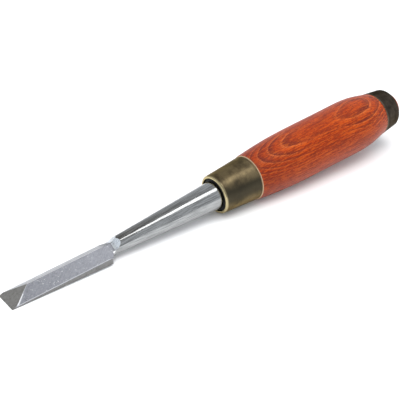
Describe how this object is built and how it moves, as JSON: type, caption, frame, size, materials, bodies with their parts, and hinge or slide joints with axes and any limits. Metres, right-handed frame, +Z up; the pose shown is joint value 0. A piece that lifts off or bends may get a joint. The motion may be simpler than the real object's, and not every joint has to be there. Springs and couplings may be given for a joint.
{
  "type": "bench chisel",
  "caption": "Bench chisel with a ridged triangular-section blade, round tapering neck, brass ferrule, stained wooden handle and steel striking hoop.",
  "frame": {"origin": "on the bench plane under the middle of the chisel, at the bottom centre of its bounding box", "axes": "+X from the cutting edge to the butt, level along the bench; +Z up off the bench, away from the blade's flat back; +Y to the left of the handle's axis seen from the cutting edge's side looking along +X"},
  "size_m": [0.2496, 0.0302, 0.0338],
  "materials": {
    "steel": "ground and fine-brushed blade faces, polished neck",
    "brass": "antiqued, fine brushing round the axis, bright rubbed lip",
    "washer_black": "matt black",
    "stained_wood": "orange-red stain under gloss lacquer, brown open grain",
    "gunmetal": "dark bronzed steel, satin"
  },
  "bodies": {
    "root": {"blade": "steel", "shock_washer": "washer_black", "ferrule": "brass", "handle": "stained_wood", "striking_hoop": "gunmetal"}
  },
  "joints": []
}
